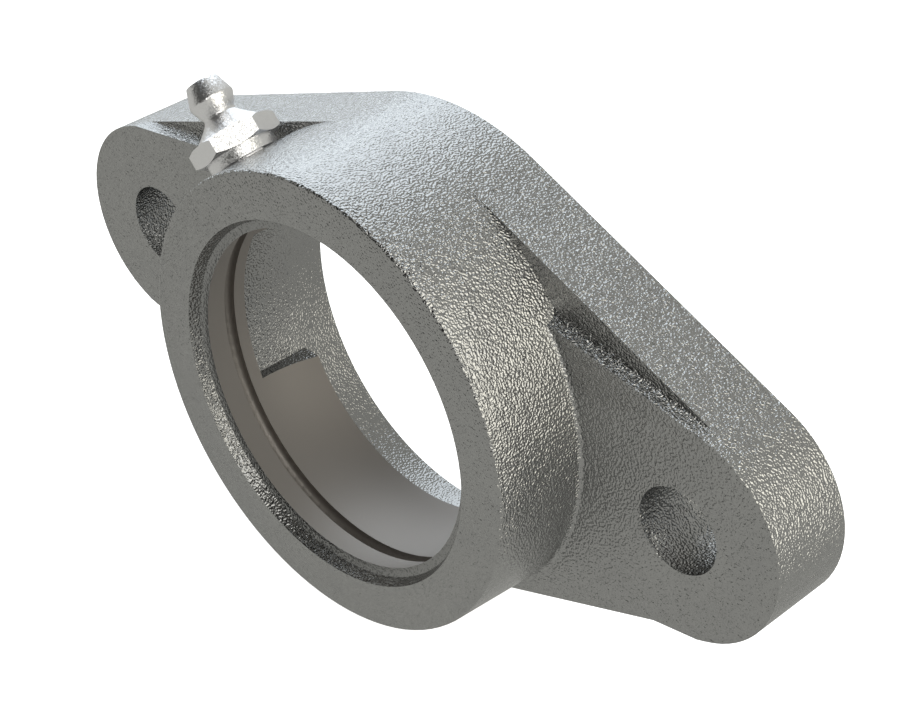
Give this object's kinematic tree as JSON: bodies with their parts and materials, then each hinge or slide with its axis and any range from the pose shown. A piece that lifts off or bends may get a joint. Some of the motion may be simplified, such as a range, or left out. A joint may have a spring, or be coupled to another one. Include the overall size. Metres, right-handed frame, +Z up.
{
  "type": "flange bearing housing",
  "caption": "Oval flange housing for an insert bearing, with a spherical seat, loading slots, raised bolt ears and a grease nipple.",
  "frame": {"origin": "centre of the bore on the mounting face", "axes": "+X through the bolts, away from the nipple; -Y out of the bore at the front; +Z up, on the nipple's side"},
  "size_m": [0.13, 0.0266, 0.068],
  "materials": {
    "cast_iron": "as cast with a machined seat",
    "plated_steel": "satin plated",
    "ball_steel": "polished",
    "spring_steel": "drawn wire"
  },
  "bodies": {
    "housing": {"housing": "cast_iron", "grease_nipple": "plated_steel", "nipple_spring": "spring_steel"},
    "ball": {"check_ball": "ball_steel"}
  },
  "joints": [
    {"name": "ball_lift", "type": "slide", "parent": "housing", "child": "ball", "axis": [0.7071, 0, -0.7071], "range_m": [0, 0.0008], "stiffness_N_per_m": 300, "springref_m": -0.003, "deforming": ["nipple_spring"]}
  ]
}
